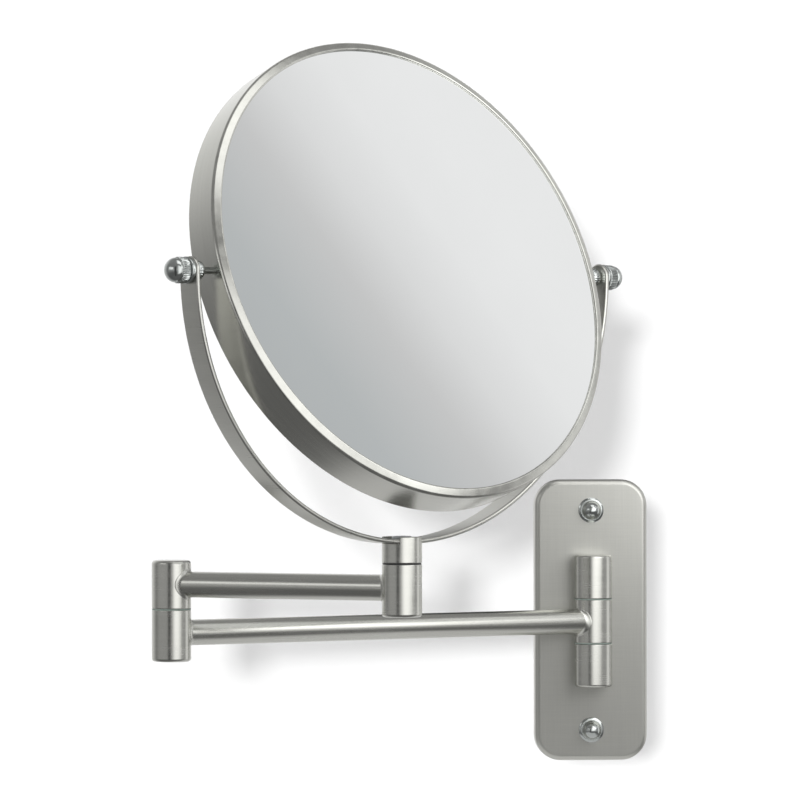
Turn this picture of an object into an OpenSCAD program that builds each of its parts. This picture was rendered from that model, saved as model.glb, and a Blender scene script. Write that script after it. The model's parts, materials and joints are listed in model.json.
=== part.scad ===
// Extendable wall mirror: a round two-sided mirror in a half-round yoke, on a folding two-part arm.
// The origin is the middle of the wall plate's back face, on the wall.
// +X points right and +Z up, as seen from the room, and the object stands out along -Y.

/* [Wall plate] */
// Width of the wall plate
plate_w = 52.5; // [46:0.5:70]
// Height of the wall plate
plate_h = 131; // [128:1:145]
// How far the plate's face stands off the wall
plate_d = 8; // [7.5:0.5:9]
// Radius of the plate's corners
plate_corner = 12; // [8:1:16]
// Radius of the plate's rolled front edge
plate_edge = 2.5; // [1.5:0.5:4]
// Thickness of the plate's sheet metal
plate_wall = 1.5; // [1:0.25:2]
// Distance between the two studs that carry the plate
stud_gap = 102.5; // [98:0.5:106]
// Distance between the two wall screw holes
screw_gap = 70; // [60:1:80]
// Diameter of the wall screw holes
screw_hole_d = 5; // [4:0.5:6]

/* [Hinges] */
// Diameter of every hinge knuckle
knuckle_d = 17.5; // [17:0.5:20]
// Height of each of the wall hinge's three knuckles
hinge_h = 20; // [19:0.2:24]
// Height of the closed upper elbow knuckle
elbow_h = 21.4; // [20:0.2:24]
// How far the knuckle at an arm's far end rises above the tube's centre line
end_top = 10.3; // [9.8:0.1:12]
// How far the knuckle at an arm's far end reaches below the tube's centre line
end_low = 12.6; // [11:0.1:14]
// Gap between neighbouring knuckles, which a bush's flange fills
joint_gap = 0.6; // [0.5:0.1:1]
// Distance from the wall to the wall hinge's axis
hinge_off = 17.5; // [17.5:0.5:24]
// Diameter of the hinge pin and of the shoulder screws
pin_d = 6; // [5:0.5:6]
// Outer diameter of the bushes
bush_d = 9; // [8.5:0.5:9.5]

/* [Arms] */
// Length of the lower arm, from axis to axis
lower_arm_len = 220; // [190:5:260]
// Length of the upper arm, from axis to axis
upper_arm_len = 112; // [90:1:130]
// Outer diameter of the arm tubes
tube_d = 11.5; // [10:0.5:13]
// Wall thickness of the arm tubes
tube_wall = 1.2; // [0.8:0.2:2]

/* [Yoke] */
// Inner radius of the yoke band
yoke_r = 115; // [113:1:125]
// Width of the yoke band
band_w = 12; // [10:0.5:13]
// Thickness of the yoke band
band_t = 2; // [1.5:0.25:3]
// Height of the yoke's stem
stem_h = 11.5; // [9:0.5:16]
// Depth of the slot that holds the band
slot_depth = 3.2; // [3:0.1:4]

/* [Mirror head] */
// Outer diameter of the mirror head
head_d = 212; // [200:1:214]
// Depth of the mirror head from front to back
head_depth = 19; // [18:0.5:22]
// Diameter of the glass that shows
view_d = 203.5; // [150:0.5:203.5]
// Thickness of the head's sheet metal
rim_wall = 1.2; // [1:0.1:1.5]
// Thickness of the plain front glass
glass_t = 3; // [2:0.5:3]
// Radius of curvature of the magnifying rear glass
magnifier_r = 900; // [800:50:2000]

/* [Pivot hardware] */
// Diameter of the pivot studs
stud_d = 3; // [3:0.5:4]
// Diameter of the knurled pivot nuts
knob_d = 11.2; // [10:0.2:14]
// Length of the knurled part of a pivot nut
knob_knurl = 4.2; // [3:0.2:6]
// Length of the domed end of a pivot nut
knob_dome = 5; // [4:0.5:6]

/* [Rest pose] */
// Heading of the lower arm, counted from +X towards +Y
lower_arm_yaw = 206; // [185:1:355]
// Heading of the upper arm, counted the same way
upper_arm_yaw = -28; // [-90:1:90]
// Turn of the yoke about its stem
yoke_yaw = 36.5; // [-90:0.5:90]
// Tilt of the mirror head, front side up
head_tilt = 20.5; // [-90:0.5:90]

/* [Hidden] */
$fn = 96;
fine = 360;                             // facets of the large circles
eps = 0.01;
run_clear = 0.05;                       // radial clearance of a shaft that turns in a bore
face_clear = 0.1;                       // clearance between flat faces that turn past each other
hinge_pitch = hinge_h + joint_gap;      // height between neighbouring hinge knuckles' centres
knuckle_r = knuckle_d / 2;
half_h = hinge_h / 2;
end_h = end_top + end_low;
arm_rise = end_top + joint_gap + elbow_h / 2; // the upper arm's centre line above the lower arm's
flange_t = joint_gap - face_clear;
flange_d = knuckle_d - 0.3;
dark_flange_d = knuckle_d - 0.6;        // the swivel's black flange, set back a little

plate_inside = plate_d - plate_wall - 2 * eps; // the inside of the plate's face
plate_stud_d = 4;
bracket_w = 24;
bracket_t = 2;
bracket_h = stud_gap + 15;
bracket_corner = 5;
cap_washer_r = 5.9;
cap_washer_t = 0.8;
cap_r = 4.5;                            // skirt of a domed cap nut
cap_skirt = 1.6;
cap_dome_r = 4.15;
cap_dome_z = 2.8;
cap_bore = 4.4;
hinge_screw_gap = 10;
hinge_screw_d = 4;
hinge_screw_grip = 4.5;                 // how far a hinge screw goes into its knuckle
hinge_head_d = 7;
hinge_head_h = 2.2;
pad_w = 10;
pin_cover = 1.6;                        // metal or plug beyond each end of the hinge pin
pin_plug_d = 8;

recess_d = 12.4;                        // recess under a knuckle for a screw head or nut
recess_h = 5.2;
plug_t = 1.2;
head_gap = 0.5;                         // room between a plug and the screw head above it
wave_t = 0.4;
screw_head_h = recess_h - plug_t - head_gap - wave_t - face_clear;
bush_len = end_h - recess_h - 2.5;
hinge_bush_len = 8.5;
wave_r = 5;
shoulder_head_d = 10;
thread_d = pin_d - 1;
thread_len = 9;
bolt_head_r = 4.5;
bolt_head_h = 1.3;
swivel_nut_d = 11;                      // across its corners

outer_r = yoke_r + band_t;
stem_base = arm_rise + end_top + joint_gap; // bottom of the stem, above the lower arm's centre line
seat_z = stem_base + stem_h - slot_depth;
pivot_z = seat_z + outer_r;

head_r = head_d / 2;
view_r = view_d / 2;
half_d = head_depth / 2;
glass_r = head_r - 3;
rear_glass_t = 2.5;
backing_t = 1;
spacer_r = glass_r - 4;
bezel_sleeve = 4.1;                     // how far the rear bezel reaches into the drum
roll_r = 0.5;                           // rounding of a lip's inner edge
lip_r = 1.5;                            // outer rounding of the rolled lips
collar_d = 8;
collar_t = 4.8;
washer_d = 11.6;
washer_t = 1.8;
insert_d = 7;
insert_len = 5;
washer_x = outer_r + face_clear;
knob_x = washer_x + washer_t + face_clear;
stud_in = head_r - rim_wall - insert_len - 0.2;
stud_out = knob_x + knob_knurl + 2;

// ---- frames -----------------------------------------------------------------------------------

// Local x and y lie on the wall, and local z comes out of it.
module on_wall() rotate([90, 0, 0]) children();
module at_hinge() translate([0, -hinge_off, 0]) children();
// Local x runs along the lower arm, from the wall hinge.
module in_lower_arm() at_hinge() rotate([0, 0, lower_arm_yaw]) children();
// Local x runs along the upper arm, from the elbow.
module in_upper_arm()
    in_lower_arm() translate([lower_arm_len, 0, 0]) rotate([0, 0, upper_arm_yaw - lower_arm_yaw])
        children();
// Local z is the swivel's axis, and local x the mirror's tilt axis.
module in_yoke()
    in_upper_arm() translate([upper_arm_len, 0, 0]) rotate([0, 0, yoke_yaw - upper_arm_yaw])
        children();
// Local z points out of the front glass, and local x is the tilt axis.
module in_head()
    in_yoke() translate([0, 0, pivot_z]) rotate([90 - head_tilt, 0, 0]) children();
// Local z runs outwards along the tilt axis: side is 1 for the right pivot and -1 for the left.
module along_pivot(side) in_head() rotate([0, side * 90, 0]) children();

// ---- shared shapes ----------------------------------------------------------------------------

function arc(c, r, from, to, steps = 6) =
    [for (i = [0:steps]) let (a = from + (to - from) * i / steps) c + r * [cos(a), sin(a)]];

module rounded_rect(w, h, r) {
    square([w - 2 * r, h], center = true);
    square([w, h - 2 * r], center = true);
    for (x = [-1, 1], y = [-1, 1]) translate([x * (w / 2 - r), y * (h / 2 - r)]) circle(r);
}

// Turned bar with its own edge rounding at the bottom and the top.
module turned_bar(r, h, low_edge, top_edge)
    rotate_extrude()
        polygon(concat([[0, 0]], arc([r - low_edge, low_edge], low_edge, -90, 0),
                       arc([r - top_edge, h - top_edge], top_edge, 0, 90), [[0, h]]));

module ring(r_out, r_in, h)
    difference() {
        cylinder(r = r_out, h = h);
        translate([0, 0, -1]) cylinder(r = r_in, h = h + 2);
    }

// Knuckle that turns on a bush: bush bore from the top, screw-head recess from below.
module bush_knuckle()
    difference() {
        translate([0, 0, -end_low]) turned_bar(knuckle_r, end_h, 1.3, 0.4);
        translate([0, 0, -end_low - 1]) cylinder(d = recess_d, h = recess_h + 1);
        translate([0, 0, -end_low]) cylinder(d = pin_d + 0.6, h = end_h);
        translate([0, 0, end_top - bush_len]) cylinder(d = bush_d, h = bush_len + 1);
    }

// Flanged bush that hangs from z = 0, with its flange above.
module flanged_bush(len, rim_d)
    difference() {
        union() {
            translate([0, 0, -len]) cylinder(d = bush_d, h = len + eps);
            cylinder(d = rim_d, h = flange_t);
        }
        translate([0, 0, -len - 1]) cylinder(r = pin_d / 2 + run_clear, h = len + 3);
    }

module recess_plug() translate([0, 0, -end_low]) cylinder(d = recess_d, h = plug_t);

// Friction washer at the top of a knuckle's recess.
module wave_washer()
    translate([0, 0, -end_low + recess_h - face_clear - wave_t]) ring(wave_r, pin_d / 2, wave_t);

// Tube between two knuckles, with both ends coped to fit them.
module arm_tube(len)
    difference() {
        rotate([0, 90, 0]) cylinder(d = tube_d, h = len);
        rotate([0, 90, 0]) translate([0, 0, -1]) cylinder(d = tube_d - 2 * tube_wall, h = len + 2);
        for (x = [0, len]) translate([x, 0, -tube_d]) cylinder(r = knuckle_r, h = 2 * tube_d);
    }

// ---- wall bracket and plate -------------------------------------------------------------------

// Outline of the plate with its rolled front edge; inset shrinks it all round.
module plate_form(inset, depth, edge)
    hull()
        for (x = [-1, 1], y = [-1, 1])
            translate([x * (plate_w / 2 - plate_corner), y * (plate_h / 2 - plate_corner), 0])
                rotate_extrude($fn = 32)
                    polygon(concat([[0, 0], [plate_corner - inset, 0]],
                                   arc([plate_corner - inset - edge, depth - edge], edge, 0, 90, 5),
                                   [[0, depth]]));

module wall_plate() color("#b9b4aa") on_wall()
    difference() {
        plate_form(0, plate_d, plate_edge);
        translate([0, 0, -eps])
            plate_form(plate_wall, plate_d - plate_wall, max(plate_edge - plate_wall, 0.5));
        for (y = [-1, 1]) translate([0, y * stud_gap / 2, -1]) cylinder(d = plate_stud_d + 0.4, h = 20);
        for (y = hinge_screw_heights())
            translate([0, y, -1]) cylinder(d = hinge_screw_d + 0.2, h = 20);
    }

module wall_bracket() color("#8d8d8a") on_wall()
    difference() {
        linear_extrude(bracket_t) rounded_rect(bracket_w, bracket_h, bracket_corner);
        for (y = [-1, 1]) {
            translate([0, y * stud_gap / 2, -1]) cylinder(d = plate_stud_d, h = 5);
            translate([0, y * screw_gap / 2, -1]) cylinder(d = screw_hole_d, h = 5);
        }
    }

module bracket_studs() color("#9a9b9c") on_wall()
    for (y = [-1, 1]) translate([0, y * stud_gap / 2, 0]) cylinder(d = plate_stud_d, h = plate_d + 5);

module nut_washers() color("#c4c8cc") on_wall()
    for (y = [-1, 1])
        translate([0, y * stud_gap / 2, plate_d])
            ring(cap_washer_r, plate_stud_d / 2 + 0.2, cap_washer_t);

// Domed cap nut on a stud, standing on its washer.
module cap_nut(side) color("#ced3d8") on_wall()
    translate([0, side * stud_gap / 2, plate_d + cap_washer_t])
        difference() {
            rotate_extrude()
                polygon(concat([[0, 0]], arc([cap_r, 0.4], 0.4, -90, 0),
                               arc([cap_r, cap_skirt], 0.4, 0, 90),
                               arc([0, cap_dome_z], cap_dome_r, 10, 90, 10)));
            translate([0, 0, -1]) cylinder(d = plate_stud_d, h = cap_bore + 1);
        }

// ---- wall hinge -------------------------------------------------------------------------------

function hinge_screw_heights() =
    [for (side = [-1, 1], s = [-1, 1]) side * hinge_pitch + s * hinge_screw_gap / 2];

// Knuckle that is screwed to the plate through a flat pad on its back.
module fixed_knuckle(side, bore_from, bore_to) color("#b5b0a6")
    difference() {
        at_hinge() translate([0, 0, side * hinge_pitch - half_h]) {
            turned_bar(knuckle_r, hinge_h, side < 0 ? 1 : 0.4, side < 0 ? 0.4 : 1);
            translate([-pad_w / 2, 0, 2]) cube([pad_w, hinge_off - plate_d, hinge_h - 4]);
        }
        at_hinge() translate([0, 0, bore_from]) cylinder(d = pin_d, h = bore_to - bore_from);
        for (s = [-1, 1])
            translate([0, -plate_d, side * hinge_pitch + s * hinge_screw_gap / 2])
                on_wall() translate([0, 0, -eps])
                    cylinder(d = hinge_screw_d, h = hinge_screw_grip + 0.5);
    }

hinge_pin_top = hinge_pitch + half_h - pin_cover;
hinge_pin_low = -hinge_pitch - half_h + pin_cover;

module hinge_knuckle_upper() fixed_knuckle(1, 0, hinge_pin_top);

module hinge_knuckle_lower()
    difference() {
        fixed_knuckle(-1, -2 * hinge_pitch, 0);
        at_hinge() translate([0, 0, hinge_pin_low - 5]) cylinder(d = pin_plug_d, h = 5);
    }

module hinge_screws() color("#9a9b9c") on_wall()
    for (y = hinge_screw_heights()) translate([0, y, 0]) {
        translate([0, 0, plate_inside - hinge_head_h])
            cylinder(d = hinge_head_d, h = hinge_head_h);
        translate([0, 0, plate_inside - eps])
            cylinder(d = hinge_screw_d, h = plate_wall + hinge_screw_grip);
    }

module hinge_pin() color("#a7a9ab") at_hinge()
    translate([0, 0, hinge_pin_low]) cylinder(d = pin_d, h = hinge_pin_top - hinge_pin_low);

module hinge_plug() color("#b5b0a6") at_hinge()
    translate([0, 0, -hinge_pitch - half_h]) cylinder(d = pin_plug_d, h = pin_cover);

// ---- lower arm --------------------------------------------------------------------------------

module lower_arm_tube() color("#b9b4aa") in_lower_arm() arm_tube(lower_arm_len);

module hinge_knuckle_middle() color("#b5b0a6") in_lower_arm()
    difference() {
        translate([0, 0, -half_h]) turned_bar(knuckle_r, hinge_h, 0.4, 0.4);
        translate([0, 0, -half_h - 1]) cylinder(d = bush_d, h = hinge_h + 2);
    }

module hinge_bush(side) color("#7f8f86") in_lower_arm()
    mirror([0, 0, side < 0 ? 1 : 0]) translate([0, 0, half_h]) flanged_bush(hinge_bush_len, flange_d);

module elbow_knuckle_lower() color("#b5b0a6") in_lower_arm()
    translate([lower_arm_len, 0, 0]) bush_knuckle();

module elbow_bush() color("#7f8f86") in_lower_arm()
    translate([lower_arm_len, 0, end_top]) flanged_bush(bush_len, flange_d);

module elbow_plug() color("#b5b0a6") in_lower_arm() translate([lower_arm_len, 0, 0]) recess_plug();

// ---- upper arm --------------------------------------------------------------------------------

module upper_arm_tube() color("#b9b4aa") in_upper_arm()
    translate([0, 0, arm_rise]) arm_tube(upper_arm_len);

module elbow_knuckle_upper() color("#b5b0a6") in_upper_arm()
    translate([0, 0, arm_rise - elbow_h / 2])
        difference() {
            turned_bar(knuckle_r, elbow_h, 0.4, 1.6);
            translate([0, 0, -1]) cylinder(d = thread_d, h = thread_len + 2);
        }

// Shoulder screw: head in the lower knuckle's recess, thread in the upper knuckle.
module elbow_screw() color("#a7a9ab") in_upper_arm() {
    head_z = -end_low + plug_t + head_gap;
    translate([0, 0, head_z]) cylinder(d = shoulder_head_d, h = screw_head_h);
    translate([0, 0, head_z + screw_head_h - eps])
        cylinder(d = pin_d, h = end_top + joint_gap - head_z - screw_head_h + eps);
    translate([0, 0, end_top + joint_gap - eps]) cylinder(d = thread_d, h = thread_len);
}

module elbow_wave_washer() color("#8f9192") in_upper_arm() wave_washer();

module swivel_knuckle() color("#b5b0a6") in_upper_arm()
    translate([upper_arm_len, 0, arm_rise]) bush_knuckle();

module swivel_bush() color("#26282a") in_upper_arm()
    translate([upper_arm_len, 0, arm_rise + end_top]) flanged_bush(bush_len, dark_flange_d);

module swivel_plug() color("#b5b0a6") in_upper_arm()
    translate([upper_arm_len, 0, arm_rise]) recess_plug();

// ---- yoke -------------------------------------------------------------------------------------

// Round stem with a slot across its top, its floor curved to seat the band.
module yoke_stem() color("#b5b0a6") in_yoke()
    difference() {
        translate([0, 0, stem_base]) turned_bar(knuckle_r, stem_h, 0.4, 0.6);
        intersection() {
            translate([-20, -band_w / 2, seat_z - 1]) cube([40, band_w, slot_depth + 5]);
            translate([0, 20, pivot_z]) rotate([90, 0, 0]) cylinder(r = outer_r, h = 40, $fn = fine);
        }
        translate([0, 0, stem_base - 1]) cylinder(d = pin_d, h = stem_h + 2);
    }

// Flat strip bent to a half circle, with rounded ends and a hole at each.
module yoke_band() color("#b5b0a6") in_yoke() translate([0, 0, pivot_z])
    difference() {
        intersection() {
            rotate([90, 0, 0]) translate([0, 0, -band_w / 2])
                difference() {
                    cylinder(r = outer_r, h = band_w, $fn = fine);
                    translate([0, 0, -1]) cylinder(r = yoke_r, h = band_w + 2, $fn = fine);
                }
            rotate([90, 0, 90]) translate([0, 0, -outer_r - 1])
                linear_extrude(2 * outer_r + 2)
                    polygon(concat([[-band_w / 2, -outer_r - 1], [band_w / 2, -outer_r - 1]],
                                   arc([0, 0], band_w / 2, 0, 180, 16)));
        }
        rotate([0, 90, 0]) translate([0, 0, -outer_r - 1])
            cylinder(r = stud_d / 2 + run_clear, h = 2 * outer_r + 2);
        translate([0, 0, -outer_r - 1]) cylinder(d = pin_d, h = band_t + 2);
    }

// Bolt from inside the yoke, through the band, the stem and the upper arm's end.
module swivel_bolt() color("#a7a9ab") in_yoke() {
    bolt_low = arm_rise - end_low + plug_t + head_gap;
    translate([0, 0, bolt_low]) cylinder(d = pin_d, h = seat_z + band_t + 1 - bolt_low);
    translate([0, 0, seat_z + band_t + face_clear]) turned_bar(bolt_head_r, bolt_head_h, 0.1, 0.8);
}

module swivel_nut() color("#9a9b9c") in_yoke()
    translate([0, 0, arm_rise - end_low + plug_t + head_gap])
        difference() {
            cylinder(d = swivel_nut_d, h = screw_head_h, $fn = 6);
            translate([0, 0, -1]) cylinder(d = pin_d, h = screw_head_h + 2);
        }

module swivel_wave_washer() color("#8f9192") in_yoke() translate([0, 0, arm_rise]) wave_washer();

// ---- mirror head ------------------------------------------------------------------------------

// Drum with a rolled lip that holds the front glass.
module mirror_rim() color("#b5b0a6")
    difference() {
        in_head() rotate_extrude($fn = fine)
            polygon(concat([[head_r - rim_wall, -half_d], [head_r, -half_d]],
                           arc([head_r - lip_r, half_d - lip_r], lip_r, 0, 90),
                           arc([view_r + roll_r, half_d - roll_r], roll_r, 90, 180),
                           [[view_r, half_d - rim_wall], [head_r - rim_wall, half_d - rim_wall]]));
        for (side = [-1, 1])
            along_pivot(side) translate([0, 0, head_r - 5]) cylinder(d = stud_d, h = 10);
    }

// Ring that holds the rear glass and presses into the drum.
module rear_bezel() color("#b5b0a6") in_head()
    rotate_extrude($fn = fine)
        polygon(concat([[head_r - rim_wall, -half_d], [head_r - rim_wall, -half_d + bezel_sleeve],
                        [head_r - 2 * rim_wall, -half_d + bezel_sleeve],
                        [head_r - 2 * rim_wall, -half_d + rim_wall], [view_r, -half_d + rim_wall]],
                       arc([view_r + roll_r, -half_d + roll_r], roll_r, 180, 270)));

module front_glass() color("#c9d2d6") in_head()
    translate([0, 0, half_d - rim_wall - glass_t]) cylinder(r = glass_r, h = glass_t, $fn = fine);

module front_backing() color("#6f5a45") in_head()
    translate([0, 0, half_d - rim_wall - glass_t - backing_t])
        cylinder(r = glass_r, h = backing_t, $fn = fine);

// Depth of the magnifying glass's hollow, at radius r.
function dish(r) = sqrt(pow(magnifier_r, 2) - pow(r, 2)) - sqrt(pow(magnifier_r, 2) - pow(glass_r, 2));

module rear_glass() color("#c9d2d6") in_head() {
    glass_face = -half_d + rim_wall;
    steps = 20;
    rotate_extrude($fn = fine)
        polygon(concat([for (i = [0:steps]) let (r = glass_r * i / steps) [r, glass_face + dish(r)]],
                       [for (i = [steps:-1:0]) let (r = glass_r * i / steps)
                           [r, glass_face + dish(r) + rear_glass_t]]));
}

// Moulded ring that keeps the two glasses apart and carries the pivots' threaded inserts.
module spacer_ring() color("#4a4a4c")
    difference() {
        in_head() {
            low_z = -half_d + rim_wall + rear_glass_t + dish(spacer_r);
            high_z = half_d - rim_wall - glass_t - backing_t;
            translate([0, 0, low_z]) ring(head_r - rim_wall - 0.2, spacer_r, high_z - low_z);
        }
        for (side = [-1, 1])
            along_pivot(side) translate([0, 0, head_r - 20]) cylinder(d = insert_d, h = 30);
    }

module pivot_inserts() color("#b59a5b")
    for (side = [-1, 1])
        along_pivot(side) translate([0, 0, stud_in]) ring(insert_d / 2, stud_d / 2, insert_len);

// ---- pivot hardware ---------------------------------------------------------------------------

module pivot_stud(side) color("#c4c8cc") along_pivot(side)
    translate([0, 0, stud_in]) cylinder(d = stud_d, h = stud_out - stud_in);

// Rounded collar on the stud, against the inside of the band.
module pivot_collar(side) color("#ced3d8") along_pivot(side)
    translate([0, 0, yoke_r - face_clear - collar_t])
        difference() {
            turned_bar(collar_d / 2, collar_t, 1.5, 1.5);
            translate([0, 0, -1]) cylinder(d = stud_d, h = collar_t + 2);
        }

module pivot_washer(side) color("#c4c8cc") along_pivot(side)
    translate([0, 0, washer_x])
        difference() {
            turned_bar(washer_d / 2, washer_t, 0.4, 0.4);
            translate([0, 0, -1]) cylinder(d = stud_d, h = washer_t + 2);
        }

// Domed thumb nut that clamps the band.
module pivot_nut(side) color("#ced3d8") along_pivot(side)
    translate([0, 0, knob_x])
        difference() {
            rotate_extrude()
                polygon(concat([[0, 0]], arc([knob_d / 2 - 0.4, 0.4], 0.4, -90, 0),
                               [for (i = [0:10]) let (a = 9 * i)
                                   [knob_d / 2 * cos(a), knob_knurl + knob_dome * sin(a)]]));
            translate([0, 0, -1]) cylinder(r = stud_d / 2 + run_clear, h = knob_knurl + 3.5);
        }

// ---- nodes ------------------------------------------------------------------------------------

wall_plate();
wall_bracket();
bracket_studs();
nut_washers();
cap_nut(1);  // cap_nut_upper
cap_nut(-1);  // cap_nut_lower
hinge_knuckle_upper();
hinge_knuckle_lower();
hinge_screws();
hinge_pin();
hinge_plug();
lower_arm_tube();
hinge_knuckle_middle();
hinge_bush(1);  // hinge_bush_upper
hinge_bush(-1);  // hinge_bush_lower
elbow_knuckle_lower();
elbow_bush();
elbow_plug();
upper_arm_tube();
elbow_knuckle_upper();
elbow_screw();
elbow_wave_washer();
swivel_knuckle();
swivel_bush();
swivel_plug();
yoke_stem();
yoke_band();
swivel_bolt();
swivel_nut();
swivel_wave_washer();
mirror_rim();
rear_bezel();
front_glass();
front_backing();
rear_glass();
spacer_ring();
pivot_inserts();
pivot_stud(-1);  // pivot_stud_left
pivot_stud(1);  // pivot_stud_right
pivot_collar(-1);  // pivot_collar_left
pivot_collar(1);  // pivot_collar_right
pivot_washer(-1);  // pivot_washer_left
pivot_washer(1);  // pivot_washer_right
pivot_nut(-1);  // pivot_nut_left
pivot_nut(1);  // pivot_nut_right
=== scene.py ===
"""Extendable wall mirror: the finished looks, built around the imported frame.

Each operator makes one group of pieces, and the sidebar panel lists them in the order that they are made.
"""

import json
from math import atan2, copysign, cos, hypot, pi, radians, sin, sqrt

import bmesh
import bpy
from bpy.props import FloatProperty, FloatVectorProperty, IntProperty, PointerProperty
from mathutils import Matrix, Vector


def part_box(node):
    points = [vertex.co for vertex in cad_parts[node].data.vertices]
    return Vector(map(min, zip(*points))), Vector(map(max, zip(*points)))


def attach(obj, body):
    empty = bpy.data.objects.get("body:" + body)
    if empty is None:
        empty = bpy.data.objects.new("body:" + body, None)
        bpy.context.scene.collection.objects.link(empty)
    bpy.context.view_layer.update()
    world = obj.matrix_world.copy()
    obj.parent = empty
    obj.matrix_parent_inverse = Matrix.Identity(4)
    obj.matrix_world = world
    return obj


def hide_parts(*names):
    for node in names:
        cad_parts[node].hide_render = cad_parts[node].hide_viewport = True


bl_info = {
    "name": "Extendable wall mirror",
    "version": (1, 0, 0),
    "blender": (4, 5, 0),
    "location": "View3D > Sidebar > Wall mirror",
    "description": "Builds the mirror's visible pieces, their finishes and the studio round the frame",
    "category": "Object",
}

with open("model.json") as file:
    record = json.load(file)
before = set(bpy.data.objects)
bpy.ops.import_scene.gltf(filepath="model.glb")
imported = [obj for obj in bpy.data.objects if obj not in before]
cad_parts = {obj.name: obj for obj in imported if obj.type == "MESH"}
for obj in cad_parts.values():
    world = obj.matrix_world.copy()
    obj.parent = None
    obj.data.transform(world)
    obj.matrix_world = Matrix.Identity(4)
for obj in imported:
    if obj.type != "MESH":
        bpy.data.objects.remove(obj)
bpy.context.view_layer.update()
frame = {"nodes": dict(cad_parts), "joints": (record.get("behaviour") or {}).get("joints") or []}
JOINTS = {joint["name"]: joint for joint in frame["joints"]}
MM = 0.001

# ---- sizes that come from the frame --------------------------------------------------------------


def joint_point(name):
    """A joint's place in the row frame."""
    return Vector(JOINTS[name]["pos_m"])


def flat(point):
    """The same point at the lower arm's height."""
    return Vector((point.x, point.y, 0))


def height(node):
    """A node's lowest and highest z, in millimetres."""
    low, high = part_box(node)
    return low.z / MM, high.z / MM


HINGE, ELBOW, SWIVEL = (flat(joint_point(n)) for n in ("wall_swing", "elbow_swing", "yoke_swivel"))
PIVOT = joint_point("mirror_tilt")
TILT_AXIS = Vector(JOINTS["mirror_tilt"]["axis"])
LOWER_LENGTH = (ELBOW - HINGE).length / MM
UPPER_LENGTH = (SWIVEL - ELBOW).length / MM
PLATE_LOW, PLATE_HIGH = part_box("wall_plate")
PLATE_WIDTH = (PLATE_HIGH.x - PLATE_LOW.x) / MM
PLATE_HEIGHT = (PLATE_HIGH.z - PLATE_LOW.z) / MM
PLATE_DEPTH = -PLATE_LOW.y / MM
HALF_KNUCKLE = height("hinge_knuckle_middle")[1]
KNUCKLE_R = (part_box("hinge_knuckle_middle")[1].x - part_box("hinge_knuckle_middle")[0].x) / 2 / MM
HINGE_RISE = sum(height("hinge_knuckle_upper")) / 2
END_LOW, END_TOP = height("elbow_knuckle_lower")
CLOSED_LOW, CLOSED_TOP = height("elbow_knuckle_upper")
ARM_RISE = sum(height("upper_arm_tube")) / 2
STUD_HEIGHT = sum(height("cap_nut_upper")) / 2
BAND_LOW = height("yoke_band")[0]
TUBE_R = height("lower_arm_tube")[1]

# Sizes that no box of a turned or tilted node gives, in millimetres.
BAND_T, BAND_W = 2.0, 12.0
BAND_R = PIVOT.z / MM - BAND_LOW - BAND_T
HEAD_TILT = radians(20.5)
HEAD_R, HALF_HEAD, VIEW_R, GLASS_R = 106.0, 9.5, 101.75, 103.0
RIM_WALL, GLASS_T, REAR_GLASS_T, DISH_R = 1.2, 3.0, 2.5, 900.0
BUSH_BORE, PIN_BORE = 4.5, 3.0
PLUG_R, RECESS_DEPTH, HEAD_SEAT_R, SEAT_T = 6.2, 5.2, 3.3, 2.5
WASHER_X = BAND_R + BAND_T + 0.1
WASHER_T = 1.8
NUT_X = WASHER_X + WASHER_T + 0.1


def heading(start, end):
    """The turn about Z that points X from start to end."""
    return Matrix.Rotation(atan2(end.y - start.y, end.x - start.x), 4, "Z")


ON_WALL = Matrix.Rotation(pi / 2, 4, "X")
AT_HINGE = Matrix.Translation(HINGE)
IN_LOWER_ARM = AT_HINGE @ heading(HINGE, ELBOW)
IN_UPPER_ARM = Matrix.Translation(ELBOW) @ heading(ELBOW, SWIVEL)
IN_YOKE = Matrix.Translation(SWIVEL) @ heading(Vector(), TILT_AXIS)
IN_HEAD = (Matrix.Translation(PIVOT) @ heading(Vector(), TILT_AXIS)
           @ Matrix.Rotation(pi / 2 - HEAD_TILT, 4, "X"))


def along_pivot(side):
    """Local Z runs outwards along the tilt axis, on the right for side 1 and on the left for -1."""
    return IN_HEAD @ Matrix.Rotation(side * pi / 2, 4, "Y")


# ---- what a user may change ----------------------------------------------------------------------


class WallMirrorSizes(bpy.types.PropertyGroup):
    """Edge roundings and fine detail of the pieces."""

    plate_corner: FloatProperty(name="Plate corner", description="Radius of the wall plate's corners",
                                default=12 * MM, unit="LENGTH")
    plate_edge: FloatProperty(name="Plate edge", description="Radius of the wall plate's rolled edge",
                              default=2.5 * MM, unit="LENGTH")
    braze: FloatProperty(name="Braze fillet", description="Fillet radius where a tube meets a knuckle",
                         default=1.3 * MM, unit="LENGTH")
    lip_slope: FloatProperty(name="Lip slope", description="How far the lip falls away to its outer edge",
                             default=1.5 * MM, unit="LENGTH")
    band_edge: FloatProperty(name="Band edge", description="Rounding of the yoke band's edges",
                             default=0.8 * MM, unit="LENGTH")
    knurl_teeth: IntProperty(name="Knurl teeth", description="Teeth round a pivot nut", default=44, min=12)
    knurl_depth: FloatProperty(name="Knurl depth", description="Depth of the knurl on a pivot nut",
                               default=0.3 * MM, unit="LENGTH")
    thread_pitch: FloatProperty(name="Thread pitch", description="Distance between two threads on a stud",
                                default=0.5 * MM, unit="LENGTH")


def linear(code):
    """An sRGB hex colour as linear RGB."""
    parts = [int(code[i:i + 2], 16) / 255 for i in (1, 3, 5)]
    return tuple(c / 12.92 if c <= 0.04045 else ((c + 0.055) / 1.055) ** 2.4 for c in parts)


def colour(name, description, code):
    """A colour property whose default is an sRGB hex colour."""
    return FloatVectorProperty(name=name, description=description, subtype="COLOR", size=3, min=0, max=1,
                               default=linear(code))


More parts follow.
